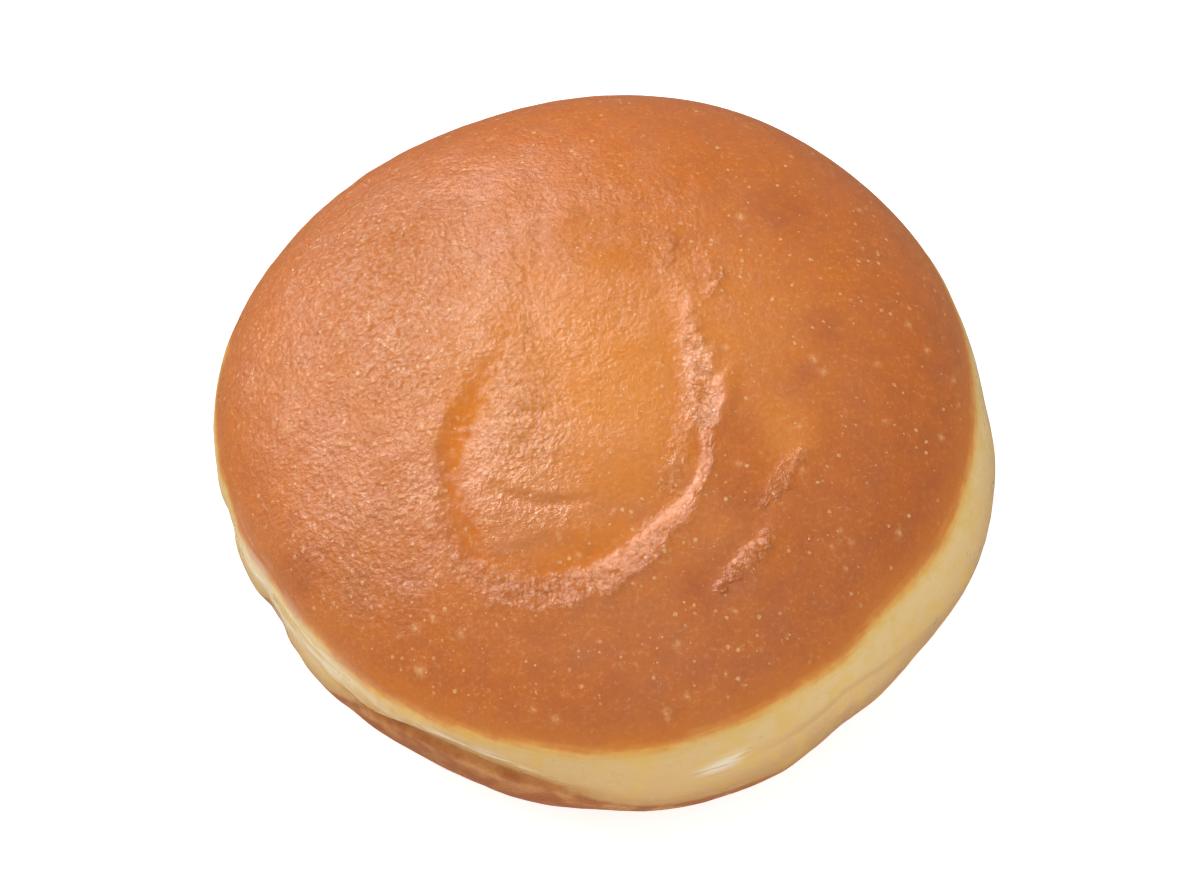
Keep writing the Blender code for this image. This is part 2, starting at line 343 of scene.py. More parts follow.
# ---------------------------------------------------------------------------------------------------------
# The side. The dough between the crusts floated above the oil and stayed pale and soft. It swells out on
# the right, and on the left and front the two crusts pinch it into a crease under a lip.

# How far it stands out, its level, half its height, its bearing, half its spread
SIDE_RELIEF = (
    # Waist between the crusts at the back
    (-0.6 * MM, 19 * MM, 3.5 * MM, 118, 40),
    # Uneven swelling
    (0.6 * MM, 17 * MM, 8 * MM, -14, 14),
    (-0.4 * MM, 17 * MM, 8 * MM, -46, 10),
    (0.6 * MM, 16 * MM, 8 * MM, -72, 15),
    (-0.7 * MM, 19 * MM, 8 * MM, 11, 12),
    (0.25 * MM, 16 * MM, 8 * MM, -43, 5),
    (-0.35 * MM, 16 * MM, 8 * MM, -56, 6),
    (-0.35 * MM, 14 * MM, 8 * MM, -115, 9),
    (0.5 * MM, 17 * MM, 8 * MM, -137, 5),
    (-0.75 * MM, 17 * MM, 8 * MM, -150, 4),
    (-0.5 * MM, 18 * MM, 8 * MM, -166, 4),
)

# Bearing, length of skin above the widest level, depth, lip's height, width below, width up to the lip
SIDE_CREASES = (
    # Between the lower crust and the lip at the front left
    ((-141, 2.4, 0, 0, 0.8, 0.9), (-134, 1.9, 0.4, 0.15, 0.8, 0.9), (-126, 1.5, 0.8, 0.3, 0.8, 1.1),
     (-119, 2.2, 0.9, 0.35, 0.8, 2.4), (-113, 2.5, 0.9, 0.35, 0.8, 3.2), (-108, 2.5, 0.9, 0.35, 0.8, 3.2),
     (-102, 2.4, 0.8, 0.3, 0.8, 2.8), (-96, 1.4, 0.5, 0.2, 0.8, 2.4), (-89, 0.4, 0, 0, 0.8, 2)),
    # Low fold at the front right
    ((-71, 3.4, 0, 0, 3, 2), (-64, 3.4, 0.35, 0.1, 3, 2), (-58, 3.5, 0.45, 0.1, 3, 2),
     (-52, 4.2, 0.45, 0.1, 3, 2), (-45, 3.4, 0.4, 0.1, 3, 2), (-36, 1, 0.3, 0, 3, 2), (-28, -1, 0, 0, 3, 2)),
)
LIP_WIDTH = 3 * MM
SIDE_REACH = 14 * MM  # how far along the skin from the widest level the creases are looked for


def off_bearing(bearing, middle):
    """Degrees from this bearing to a middle one."""
    return (np.degrees(bearing) - middle + 180) % 360 - 180


def side_line(knots):
    """A line along the side. Its knots start with a bearing and a length of skin above the widest level."""
    return spline([(BUN_RADIUS / MM * math.radians(bearing), *carried) for bearing, *carried in knots])


def side_relief(bearing, height):
    """How far the side stands out at this bearing and height."""
    relief = 0
    for out, level, half_height, middle, half_spread in SIDE_RELIEF:
        off = off_bearing(bearing, middle)
        relief += out * np.exp(-((off / half_spread) ** 4) - ((height - level) / half_height) ** 2)
    return relief


def crease_relief(places):
    """How far the creases stand in and their lips out, and how near each place is to one's inner side."""
    relief, nearness = np.zeros(len(places)), np.zeros(len(places))
    for knots in SIDE_CREASES:
        distance, is_above, (depth, lip, below, above) = from_line(places, side_line(knots))
        climb = distance / above
        sunk = np.where(is_above, 1 - climb.clip(0, 1), 1 - smooth_step(distance / below))
        past_lip = 1 - smooth_step((distance - above) / LIP_WIDTH)
        relief += lip * is_above * np.minimum(climb, past_lip) - depth * sunk
        nearness += depth / MM * is_above * (1 - smooth_step(climb - 0.5))
    return relief, nearness


places += towards * side_relief(bearing, height)[:, None]
side_places = np.column_stack([BUN_RADIUS * bearing, along])
on_side = np.flatnonzero(np.abs(along) < SIDE_REACH)
relief, nearness = crease_relief(side_places[on_side])
places[on_side] += towards[on_side] * relief[:, None]
# Painted shade in the recess between each side crease and its lip
crease_shade = np.zeros(len(places))
crease_shade[on_side] = nearness
points = np.column_stack([places, height])
outwards = points - (0, 0, WIDEST_LEVEL)
outwards /= np.linalg.norm(outwards, axis=1, keepdims=True)
points += outwards * (LUMP_HEIGHT * noise_at(points, LUMP_LENGTH))[:, None]

# The floor flattens the belly's lowest part, and the bun stands with its middle over the origin
eased = np.clip(points[:, 2] + FLOOR_SOFTNESS, 0, None) ** 2 / (4 * FLOOR_SOFTNESS)
points[:, 2] = np.where(points[:, 2] > FLOOR_SOFTNESS, points[:, 2], eased)
middle = (points[:, :2].min(0) + points[:, :2].max(0)) / 2
points[:, :2] -= middle

# ---------------------------------------------------------------------------------------------------------
# The skin. Hot oil sets the outermost dough as a thin leathery skin, which crinkles as the bun shrinks. The
# hollow's wall and the folds crinkle most, and the skin shines where oil clings to it. Streaks run down the
# back of the crown and along its left rim.

LEATHERY = 0.36  # of the skin at large
LEATHERY_LIMITS = (0.06, 1.3)
LEATHERY_SPOTS = (  # where it differs: X, Y, radius in millimetres, how much more or less leathery
    (-27, 22, 12, 0.5),
    (-1, 19, 11, 0.4),
    (-26, 2, 20, 0.6),
    (-27, -24, 9, 0.45),
    (-9, -12, 9, 0.1),
    (14, -44, 18, -0.15),
    (38, 0, 20, -0.2),
    (6, 38, 22, -0.25),
    (32, 28, 16, -0.2),
)
LEATHERY_LINES = (  # the same along lines: X, Y, half the width in millimetres, how much more or less
    # The wall of the hollow, from its back end to its front
    ((9.6, 4.5, 0.9, 0.3), (10.2, 1, 1.4, 0.5), (10.8, -3, 1.8, 0.7), (11.2, -8, 1.8, 0.8),
     (11.9, -12, 0.5, 0.5), (11.5, -16, 0.4, 0.4), (10, -20, 0.5, 0.5), (7, -23.4, 1.4, 0.7),
     (3.4, -26.6, 1.9, 0.8), (-1.5, -29.2, 2.2, 0.9), (-7, -30.2, 2.4, 0.9), (-12.4, -29.2, 2, 0.6),
     (-17, -26, 1.4, 0.3)),
    # Inside the wall
    ((8.8, -10, 1, 0.2), (8.4, -14, 1.4, 0.4), (7.2, -18, 1.2, 0.4), (6, -20.6, 0.8, 0.1)),
    # The left of the floor, behind its crease and before it
    ((-9, 1, 3, 0.2), (-9.5, -6, 4.6, 0.3), (-9, -12, 4.8, 0.25), (-8, -16.4, 2.4, 0.15)),
    ((-11.5, -21, 2.4, 0.15), (-5.5, -21.2, 2.4, 0.15)),
    # The folds on the right
    ((17.7, -19.5, 0.8, 0.5), (19.6, -17.5, 1, 0.9), (21.2, -15.4, 1, 0.8), (23.4, -12.4, 0.8, 0.4)),
    ((12.9, -30, 0.5, 0.9), (14.8, -27.6, 0.9, 1.2), (16.6, -25.8, 1.1, 1.2), (18.8, -23.4, 0.9, 0.8)),
    # The puckers behind the hollow
    ((6.8, 11, 0.8, 0.3), (7.8, 14, 1, 0.6), (7.4, 17, 0.8, 0.3)),
    ((11.8, 7, 0.7, 0.3), (12.9, 9.4, 0.9, 0.6), (12.2, 12, 0.7, 0.3)),
    # Taut: the valley, the front of the floor, and its right
    ((-10.2, 6, 1.2, -0.1), (-13.2, -1, 1.4, -0.3), (-16.8, -8, 1.8, -0.5), (-17.8, -14, 1.6, -0.5),
     (-17, -21, 1.5, -0.5), (-15, -26, 1.2, -0.3)),
    ((-8, -26.4, 1.1, -0.5), (-2.5, -25.2, 1.6, -0.7), (2.4, -23.6, 1.6, -0.5)),
    ((3.4, -6, 4, -0.05), (2.6, -18, 4, -0.2)),
)
SHINE_LIMITS = (0, 2)  # as shares of how much the skin at large shines
SHINE_SPOTS = (  # where the oily skin shines more or less: X, Y, radius in millimetres, how much
    (5, 26, 13, -0.55),
    (0, 13, 8, -0.5),
    (-25, 8, 13, 0.15),
    (-26, 26, 16, -0.1),
    (-36, 14, 10, -0.25),
    (-7, 35, 9, -0.25),
    (-43, -5, 7, -0.3),
    (-4, -3, 4.5, -0.35),
    (-9.5, -15, 7.5, 0.7),
    (-24, -36, 6, -0.3),
    (-33, -25, 9, 0.15),
    (17, -12, 7, -0.4),
    (-32, 0, 13, -0.1),
)
SHINE_LINES = (
    # The valley, and round the front of the floor
    ((-10.2, 8, 1.6, -0.1), (-13, -1, 1.4, -0.5), (-16.4, -8.4, 2, -1.2), (-17.2, -14, 1.6, -1),
     (-16.6, -21, 1.7, -0.8), (-13.5, -26, 1.7, -0.4), (-8, -27, 1.5, -0.6), (-2.5, -25.4, 2, -0.8),
     (2.4, -23, 2, -0.6)),
    # The floor's right
    ((3, 1, 3, -0.2), (3.4, -6, 4, -0.3), (2.6, -18, 4, -0.3)),
    # The floor before its crease
    ((-12.5, -20.8, 2.4, 0.7), (-8, -21.4, 2.6, 0.9), (-4.4, -21.4, 2.2, 0.6)),
    # The wall
    ((10.9, -1, 2.5, 1.1), (11.2, -8, 2.2, 1), (11.6, -14, 0.6, 0.4), (9.9, -20, 0.8, 0.3),
     (3.4, -26.6, 2.2, 0.3), (-7, -30.2, 2.6, 0.3)),
)
SHINE_PATCHES = (5 * MM, 0.5)  # patches all over: their size, how much more or less they shine
LINE_WAVES = (1.1 * MM, 0.9 * MM)  # along the edges of all these lines: their size, how far they reach
LINE_PATCHES = (1 * MM, 1.0)  # within the lines: their size, how much stronger or weaker they are
LINE_CRISPNESS = 2.6  # 2 gives the lines soft edges, and more gives crisper ones
CRINKLES = (  # size, height
    (7 * MM, 0.24 * MM),
    (3.2 * MM, 0.13 * MM),
    (1.6 * MM, 0.1 * MM),
)
STREAK_WIDTH = 1.3 * MM
STREAK_LENGTH = 6 * MM
STREAK_HEIGHT = 0.12 * MM
BACK_STREAKS_AT = (-6, 22, 15)  # X, Y, radius in millimetres
RIM_STREAKS_AT = (-27, -21, 14)
LIFT = 3 * MM  # height above the floor over which all this comes in


def near_spot(points, spot):
    """One at the spot's middle, easing to nothing past its radius."""
    x, y, radius = spot
    return np.exp(-(((points[:, 0] / MM - x) ** 2 + (points[:, 1] / MM - y) ** 2) / radius**2))


def skin_normals(mesh, points):
    """Which way the skin faces at each point, once its mesh has them."""
    mesh.vertices.foreach_set("co", points.ravel())
    mesh.update()
    normals = np.empty(points.size)
    mesh.vertex_normals.foreach_get("vector", normals)
    return normals.reshape(-1, 3)


line_places = wavering(crown_places, *LINE_WAVES, seed=7)
patch_size, patch_strength = LINE_PATCHES
line_strengths = (1 + patch_strength * noise_at(flat(crown_places), patch_size, seed=9)).clip(0)


def spread_over(spots, lines=()):
    """How much there is of something at each point of the crown, from what spots and lines add."""
    amounts = sum(much * near_spot(points, (x, y, radius)) for x, y, radius, much in spots) * on_crown
    for knots in lines:
        distance, _, (half_width, much) = from_line(line_places, spline(knots))
        near = np.exp(-((distance.clip(0) / half_width) ** LINE_CRISPNESS))
        amounts[crown_only] += line_strengths * much / MM * near
    return amounts


normals = skin_normals(doughnut_mesh, points)
leathery = (LEATHERY + spread_over(LEATHERY_SPOTS, LEATHERY_LINES)).clip(*LEATHERY_LIMITS)
patch_size, patch_shine = SHINE_PATCHES
patches = patch_shine * noise_at(points, patch_size, seed=15)
shine = (1 + spread_over(SHINE_SPOTS, SHINE_LINES) + patches).clip(*SHINE_LIMITS)
relief = sum(rise * noise_at(points, size, seed) for seed, (size, rise) in enumerate(CRINKLES, 1))
stretch = STREAK_WIDTH / STREAK_LENGTH
down_back = noise_at(points * (1, stretch, 1), STREAK_WIDTH, seed=11)
round_rim = np.column_stack([BUN_RADIUS * bearing * stretch, along, np.zeros(len(points))])
along_rim = noise_at(round_rim, STREAK_WIDTH, seed=12)
relief += STREAK_HEIGHT * near_spot(points, BACK_STREAKS_AT) * on_crown * down_back
relief += STREAK_HEIGHT * near_spot(points, RIM_STREAKS_AT) * on_crown * along_rim
points += normals * (relief * leathery * smooth_step(points[:, 2] / LIFT))[:, None]

# ---------------------------------------------------------------------------------------------------------
# Blisters. Bubbles of steam under the skin stand up as small pale dots on the upper crust. Most are
# scattered at random, and the ones that stand out have places of their own.

BLISTER_COUNT = 60
BLISTER_RADIUS = (0.22 * MM, 0.36 * MM)
BLISTER_HEIGHT = 0.09 * MM
BLISTER_LEVEL = 12 * MM  # length of skin below the lowest of them, from the widest level
BLISTER_SEED = 4
# The ones that stand out: X, Y, radius in millimetres
BIG_BLISTERS = (
    (24.8, -0.2, 0.45), (25.9, -1.6, 0.4), (38.7, 4.2, 0.4), (33.2, -6.7, 0.35), (40.2, -6.7, 0.4),
    (34.5, -19.7, 0.4), (28.8, -22.1, 0.35), (26.3, -23.1, 0.3), (41.9, 1.3, 0.45), (36.7, 7.3, 0.35),
    (-21.6, -32.1, 0.45), (-16.3, -33.5, 0.45), (-22.1, -37.7, 0.6), (-7.9, -41.4, 0.3), (-5.5, -43.7, 0.45),
    (7.3, -41.9, 0.4), (7.6, -43.1, 0.35), (8.5, -35.5, 0.4), (16.7, 19.9, 0.5), (31.3, 24.9, 0.4),
)

draw = np.random.default_rng(BLISTER_SEED)
crust_only = np.flatnonzero(along > BLISTER_LEVEL)
blister_middles = list(points[draw.choice(crust_only, BLISTER_COUNT)])
blister_radii = list(draw.uniform(*BLISTER_RADIUS, BLISTER_COUNT))
for x, y, radius in BIG_BLISTERS:
    gaps = np.hypot(*(points[crust_only, :2] - (x * MM, y * MM)).T)
    blister_middles.append(points[crust_only[gaps.argmin()]])
    blister_radii.append(radius * MM)
blistered = np.zeros(len(points))
for blister_middle, radius in zip(blister_middles, blister_radii):
    gaps = ((points - blister_middle) ** 2).sum(1)
    blistered = np.maximum(blistered, np.exp(-gaps / radius**2))
points += normals * (BLISTER_HEIGHT * blistered)[:, None]
doughnut_mesh.vertices.foreach_set("co", points.ravel())
doughnut_mesh.update()

# ---------------------------------------------------------------------------------------------------------
# The browning. The bun floated a little tilted, so the upper crust comes lower on the left, and the lower
# crust climbs to meet it under the lip. The crown is golden in the middle and browner towards its shoulder.
# Some colours here are painted light: painted shade beside the right folds and in the recesses above the
# side creases, and painted highlights on the hollow's floor and wall and on the ring.

CRUST_EDGE = 7.2 * MM  # mean length of skin between the widest level and the upper crust
CRUST_HIGHEST = -35  # bearing
CRUST_TILT = 2.6 * MM  # how much higher its edge is there, and lower opposite
CRUST_BEND = 0.7 * MM  # how much higher it is at both of these, and lower between them
CRUST_SAGS = (  # how much lower, at which bearing, half the spread
    (1.0 * MM, 178, 26),
    (-0.7 * MM, -103, 12),
    (0.6 * MM, -123, 9),
    (-0.6 * MM, -139, 5),
    (-1.0 * MM, -43, 9),
    (0.4 * MM, -53, 6),
    (-0.3 * MM, -13, 8),
    (0.8 * MM, 32, 22),
    (-2.0 * MM, 170, 4),
)
SOLE_EDGE = -3.6 * MM  # the same for the lower crust
SOLE_CLIMB = 6.1 * MM  # how much higher it is under the lip
SOLE_HIGHEST = -112  # bearing
SOLE_SPREAD = 21  # half the spread, in degrees
SOLE_TONGUES = (  # how much higher, at which bearing, half the spread
    (1.2 * MM, -76, 22),
    (-1.2 * MM, -48, 17),
    (3.0 * MM, -151, 1.6),
    (2.4 * MM, -146, 1.4),
)
EDGE_WAVES = (9 * MM, 0.5 * MM)  # of both edges: size, height
GOLDEN_SPOTS = (  # X, Y, radius in millimetres, how much more golden
    (-2, -4, 22, 1),
    (-30, 4, 20, 0.25),
    (20, 5, 8, 0.2),
    (-33, -25, 8, 0.2),
    (15, -12, 5, -0.35),
    (21, -10, 3.5, 0.6),
)
GOLDEN_LINES = (  # the same along the valley: X, Y, half the width in millimetres, how much more golden
    ((-12.8, -1, 1.6, -0.1), (-16.8, -8, 2, -0.25), (-18, -14, 2, -0.25), (-17, -21, 2, -0.2),
     (-15, -26, 2, -0.1)),
)
# The ring is a little browner at the front, and low on the front right: how much, bearing, half the spread
FRONT_TAN = (0.45, -98, 34)
LOW_TAN = (1.2, -56, 20)
LOW_TAN_LEVEL = 3.2 * MM  # length of skin from the widest level up to where it starts
LOW_TAN_FADE = 4.5 * MM
# Whitish marks on the ring, two of them painted highlights: bearing, length of skin above the widest level,
# half the width, how white
SCUFFS_AND_HIGHLIGHTS = (
    # A painted highlight: a glossy streak at the front right
    ((-77.5, 4.1, 0.5, 0.3), (-75, 4.2, 1, 0.7), (-72, 4.7, 1, 0.7), (-69.5, 5.3, 0.5, 0.4)),
    # A painted highlight along the lip's edge at the front left
    ((-133, 2.4, 0.2, 0.2), (-126, 2.5, 0.3, 0.4), (-119, 4.5, 0.35, 0.5), (-113, 5.7, 0.45, 0.75),
     (-108, 5.8, 0.45, 0.7), (-102, 5.3, 0.35, 0.4), (-96, 4, 0.2, 0.1)),
    # Whiter on the left
    ((-162, 5, 2, 0.2), (-150, 4.5, 2.2, 0.5), (-140, 4, 2.4, 0.5), (-130, 4, 2.2, 0.4), (-120, 4.6, 2, 0.2),
     (-110, 5, 1.6, 0.05)),
    # Whitish flakes on the left
    ((-162, 4.6, 0.8, 0.4), (-156, 3.6, 1.2, 0.7), (-150, 2.6, 1.4, 0.8), (-146, 1.6, 1.6, 0.7),
     (-141, 3.4, 1, 0.4), (-136, 4.4, 0.6, 0.2)),
)
# Browner where the crust toasted. Some spots are painted light instead, as marked.
TOASTING_AND_PAINTED_LIGHT_SPOTS = (  # X, Y, radius in millimetres, how much browner
    (22, 22.1, 4, 0.5),
    (26.6, 4.3, 3, 0.4),
    (23.6, -2.3, 2, 0.35),
    (-36, -24, 3.5, 0.5),
    # Painted shade in the hollows left of the two folds on the right
    (15.8, -18.1, 3, 0.5),
    (11, -29.2, 3, 0.5),
    (41, -17, 13, 0.45),
    (45, 6, 8, 0.35),
    (0, -43, 12, 0.12),
    (24, -32, 10, 0.22),
    (15.5, -10, 3.5, 0.25),
    # Painted highlight where the floor before its crease faces the light
    (-8, -20.5, 5, -0.35),
    (-30, 22, 11, -0.12),
    # Painted highlight where the wall's top faces the light
    (11.5, -2, 3, -0.3),
)


def near_bearing(bearing, middle, half_spread, squareness=2):
    """One at the middle bearing, easing to nothing past half the spread."""
    return np.exp(-((off_bearing(bearing, middle) / half_spread) ** squareness))


turn = np.radians(off_bearing(bearing, CRUST_HIGHEST))
wave_size, wave_height = EDGE_WAVES
waves = wave_height * noise_at(points, wave_size, seed=21)
crust_edge = CRUST_EDGE + CRUST_TILT * np.cos(turn) + CRUST_BEND * np.cos(2 * turn) + waves
for sag, middle, half_spread in CRUST_SAGS:
    crust_edge -= sag * near_bearing(bearing, middle, half_spread)
sole_edge = SOLE_EDGE + SOLE_CLIMB * near_bearing(bearing, SOLE_HIGHEST, SOLE_SPREAD, squareness=4) - waves
for rise, middle, half_spread in SOLE_TONGUES:
    sole_edge += rise * near_bearing(bearing, middle, half_spread)
front_tan, middle, half_spread = FRONT_TAN
# Tan: painted shade in the creases' recesses, and a browner ring at the front and low on the front right
tanned_and_shaded = crease_shade + front_tan * near_bearing(bearing, middle, half_spread)
low_tan, middle, half_spread = LOW_TAN
low_share = smooth_step((LOW_TAN_LEVEL - along + waves) / LOW_TAN_FADE)
tanned_and_shaded += low_tan * near_bearing(bearing, middle, half_spread) * low_share
scuffed_and_highlit = np.zeros(len(points))
for knots in SCUFFS_AND_HIGHLIGHTS:
    distance, _, (half_width, white) = from_line(side_places[on_side], side_line(knots))
    streak = white / MM * np.exp(-((distance / half_width) ** 2))
    scuffed_and_highlit[on_side] = np.maximum(scuffed_and_highlit[on_side], streak)
golden = spread_over(GOLDEN_SPOTS, GOLDEN_LINES)
toasting_and_painted_light = spread_over(TOASTING_AND_PAINTED_LIGHT_SPOTS)


def carry(mesh, name, values):
    """Stores one number, or one vector, for each vertex, for the dough's material to read."""
    kind = "FLOAT" if values.ndim == 1 else "FLOAT_VECTOR"
    key = "value" if values.ndim == 1 else "vector"
    mesh.attributes.new(name, kind, "POINT").data.foreach_set(key, values.ravel())


carry(doughnut_mesh, "inside_crust", (along - crust_edge) / MM)
carry(doughnut_mesh, "inside_sole", (sole_edge - along) / MM)
carry(doughnut_mesh, "rim_place", np.column_stack([towards * BUN_RADIUS, along]))
carry(doughnut_mesh, "leathery", leathery)
carry(doughnut_mesh, "tanned_and_shaded", tanned_and_shaded)
carry(doughnut_mesh, "scuffed_and_highlit", scuffed_and_highlit)
carry(doughnut_mesh, "golden", golden)
carry(doughnut_mesh, "toasting_and_painted_light", toasting_and_painted_light)
carry(doughnut_mesh, "blistered", blistered)
carry(doughnut_mesh, "shine", shine)

# ---------------------------------------------------------------------------------------------------------
# The finish. Fried yeast dough has a thin brown crust with a sheen of oil, and soft pale crumb where the oil
# didn't reach. The patterns come first, then the colours, the relief too fine for the mesh, and the gloss.

# Patterns, each with the size of what it draws
GRAIN_SIZE = 1.0 * MM
MOTTLE_SIZE = 3 * MM
FLECK_SIZE = 0.6 * MM
FRINGE_SIZE = 1.5 * MM
RING_LINE_WIDTH = 0.5 * MM
RING_LINE_LENGTH = 6 * MM
PEBBLE_SIZE = 0.6 * MM
PEBBLE_WARP = 0.5 * MM
SPECK_WARP = 0.35 * MM
NOISE_MIDDLE = 0.5

# Pale dots and specks, one to a cell. Each draws its radius, and those below zero don't show
DOT_SPACING = 1.2 * MM
DOTLESS = 0.35  # share of the cells that have no dot
DOT_LARGEST = 0.28  # radius, in spacings
DOT_SOFTNESS = 0.06  # width of its soft edge, in spacings
SPECK_SPACING = 0.7 * MM
SPECK_TAUT = -0.31  # the smallest radius on taut skin, in spacings
SPECK_LEATHERY = -0.05  # and on leathery skin
SPECK_SPREAD = 0.5  # how much larger the largest is
SPECK_SOFTNESS = 0.12

# The crusts' edges, in millimetres
FRAY = 1.2  # how far the fringe moves them
BRUSHED = 1.3  # how far the ring's lines move the upper one
# Scuffed places here take in the ring's painted highlights too
FLAKY = 12.0  # and where the ring is scuffed
FLAKY_STEEPNESS = 2.6  # how much faster the colours change there
CRUST_FADE = 5.0  # width over which the upper crust's own patterns come in
RING_FOOT = -12.0  # where the ring's colours start, measured up from the upper crust's edge
RING_TOP = 8.0  # and where they end
SOLE_FOOT = -6.0  # the same for the lower crust's colours, measured down into it from its edge
SOLE_TOP = 4.0

# Colours along the ring and over the upper crust's edge, and down into the lower crust
RING_COLOURS = (
    (0.0, "#D6A974"), (0.2, "#E4BA7C"), (0.38, "#EBC584"), (0.5, "#EFCC8C"), (0.55, "#EEC577"),
    (0.58, "#EBAF58"), (0.615, "#DD8C3C"), (0.66, "#CF7730"), (0.9, "#CA6F2F"), (1.0, "#CA6F2F"),
)
SOLE_COVER = (  # white where it hides the ring
    (0.0, "#000000"), (0.3, "#5A5A5A"), (0.54, "#B0B0B0"), (0.64, "#FFFFFF"), (1.0, "#FFFFFF"),
)
SOLE_COLOURS = (
    (0.0, "#D9AE74"), (0.5, "#CE9254"), (0.61, "#BE773C"), (0.7, "#D08F52"), (0.85, "#CA8447"),
    (1.0, "#BE7439"),
)
# Colours of what lies over these
GOLDEN = "#E38B38"
LIGHT_FLECK = "#E59A5A"
LEATHER = "#BE8159"
# Brown of toasting, also used for painted shade in the grain's crevices and beside the right folds
TOASTED_AND_SHADE_BROWN = "#B25E30"
PALE_DOT = "#E8A86C"
# Pale specks, and painted glints of the oil's sheen
PALE_SPECK_AND_GLINT = "#F0B78C"
# Tan of the ring, also the painted shade in the creases' recesses
TAN_AND_SHADE = "#D0A265"
YOLK = "#E8BC58"
# White of the ring's scuffs and flakes, and of its painted highlights
SCUFF_AND_HIGHLIGHT_WHITE = "#FBF2DC"
SOLE_MOTTLE = "#AC5D28"

# Relief too fine for the mesh, in millimetres
GRAIN_HEIGHT = 0.42
PEBBLE_HEIGHT = 0.1
FLECK_HEIGHT = 0.16
DOT_HEIGHT = 0.05
SPECK_HEIGHT = 0.08
RING_LINE_HEIGHT = 0.04
SCUFF_HEIGHT = 0.3

# The oil's sheen
PLAIN_GLOSS = 0.5  # of smooth skin
GLOSS_SPREAD = 0.6  # how much the flecks add or take, as a share of it
LEAST_ROUGH = 0.26
MOST_ROUGH = 0.38


def linear(hex_colour):
    """An sRGB hex colour as the linear colour that shaders take."""
    channels = [int(hex_colour[start : start + 2], 16) / 255 for start in (1, 3, 5)]
    return (*(c / 12.92 if c <= 0.04045 else ((c + 0.055) / 1.055) ** 2.4 for c in channels), 1)


def add(tree, kind, inputs=(), stops=(), **settings):
    """Adds a shader node with its settings.

    An input is a value, the socket that feeds it, or the node whose first output feeds it.
    """
    new = tree.nodes.new("ShaderNode" + kind)
    for name, value in settings.items():
        setattr(new, name, value)
    # Where two sockets have one name, it means the first
    sockets = {socket.name: socket for socket in list(new.inputs)[::-1]}
    sockets |= {socket.identifier: socket for socket in new.inputs}
    for name, value in dict(inputs).items():
        source = value.outputs[0] if isinstance(value, bpy.types.Node) else value
        if isinstance(source, bpy.types.NodeSocket):
            tree.links.new(source, sockets[name])
        else:
            sockets[name].default_value = source
    # A new ramp has two stops. The last of these stops takes the second one, and the first one goes.
    for position, hex_colour in stops:
        at_end = position == stops[-1][0]
        stop = new.color_ramp.elements[-1] if at_end else new.color_ramp.elements.new(position)
        stop.position, stop.color = position, linear(hex_colour)
    if stops:
        new.color_ramp.elements.remove(new.color_ramp.elements[0])
    return new


fried_dough = bpy.data.materials.new("fried_dough")
fried_dough.use_nodes = True
tree = fried_dough.node_tree
place = add(tree, "TexCoord").outputs["Object"]
rim_place = add(tree, "Attribute", attribute_name="rim_place").outputs["Vector"]
inside_crust, inside_sole, leathery_share, golden_share, toasting_and_painted_light_share = (
    add(tree, "Attribute", attribute_name=name).outputs["Fac"]
    for name in ("inside_crust", "inside_sole", "leathery", "golden", "toasting_and_painted_light")
)
blister_share, tan_and_shade_share, scuff_and_highlight_share, shine_share = (
    add(tree, "Attribute", attribute_name=name).outputs["Fac"]
    for name in ("blistered", "tanned_and_shaded", "scuffed_and_highlit", "shine")
)

# The ring's lines are stretched along it, and the grain warps the pebbles, dots and specks
squeeze = RING_LINE_WIDTH / RING_LINE_LENGTH
line_place = add(tree, "Mapping", {"Vector": rim_place, "Scale": (squeeze, squeeze, 1)})
grain, mottle, flecks, fringe, ring_lines = (
    add(tree, "TexNoise", {"Vector": at, "Scale": 1 / size, "Detail": detail, "Roughness": roughness})
    for at, size, detail, roughness in (
        (place, GRAIN_SIZE, 5.0, 0.6),
        (place, MOTTLE_SIZE, 3.0, 0.5),
        (place, FLECK_SIZE, 3.0, 0.7),
        (place, FRINGE_SIZE, 3.0, 0.6),
        (line_place, RING_LINE_WIDTH, 2.0, 0.5),
    )
)
pebble_place, speck_place = (
    add(
        tree, "VectorMath",
        {"Vector": grain.outputs["Color"], "Vector_001": (warp,) * 3, "Vector_002": place},
        operation="MULTIPLY_ADD",
    )
    for warp in (PEBBLE_WARP, SPECK_WARP)
)
pebbles = add(tree, "TexVoronoi", {"Vector": pebble_place, "Scale": 1 / PEBBLE_SIZE})

# Dots are spread evenly over the crust
dots = add(tree, "TexVoronoi", {"Vector": speck_place, "Scale": 1 / DOT_SPACING})
dot_draws = add(tree, "SeparateColor", {"Color": dots.outputs["Color"]}).outputs
dot_radius = add(
    tree, "MapRange",
    {"Value": dot_draws["Red"], "From Min": DOTLESS, "From Max": 1.0, "To Min": 0.0, "To Max": DOT_LARGEST},
)
inside_dot = add(tree, "Math", {"Value": dot_radius, "Value_001": dots}, operation="SUBTRACT")
dot = add(
    tree, "MapRange", {"Value": inside_dot, "From Min": 0.0, "From Max": DOT_SOFTNESS},
    interpolation_type="SMOOTHSTEP",
)

